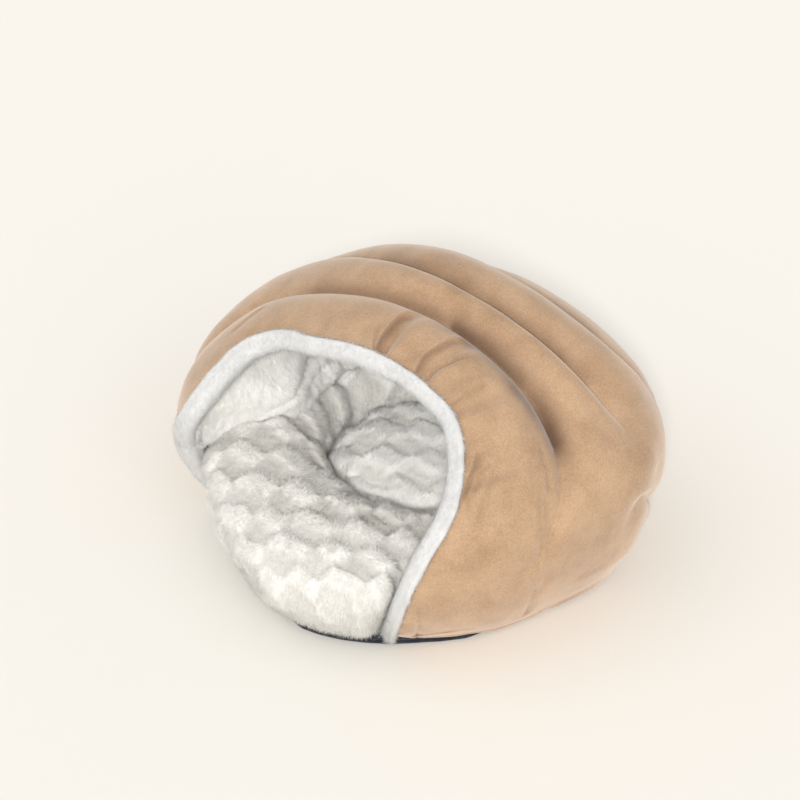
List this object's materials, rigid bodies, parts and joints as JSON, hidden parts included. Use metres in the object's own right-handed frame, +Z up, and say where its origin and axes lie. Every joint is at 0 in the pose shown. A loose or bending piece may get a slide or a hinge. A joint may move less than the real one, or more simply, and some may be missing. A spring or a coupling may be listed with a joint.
{
  "type": "enclosed plush pet bed",
  "caption": "Low hooded pet bed: a ribbed tan velvet hood over a white plush nest ring and round floor cushion, open through a wide bound mouth in front.",
  "frame": {"origin": "on the floor, at the middle of the flat underside", "axes": "+Z up, mouth towards -Y, +X to the right of the bed as seen from in front of the mouth"},
  "size_m": [0.4394, 0.402, 0.2486],
  "materials": {
    "tan_velvet": "short-pile velvet with a soft sheen, paler where it is seen at a grazing angle",
    "carved_plush": "soft off-white plush with lozenge scales carved into the pile",
    "short_pile": "white short-pile binding",
    "non_slip_cloth": "dark matt non-slip cloth"
  },
  "bodies": {
    "root": {"base_sheet": "non_slip_cloth", "nest_ring": "carved_plush", "floor_cushion": "carved_plush", "hood_lining": "carved_plush", "hood_shell": "tan_velvet", "mouth_binding": "short_pile"}
  },
  "joints": []
}
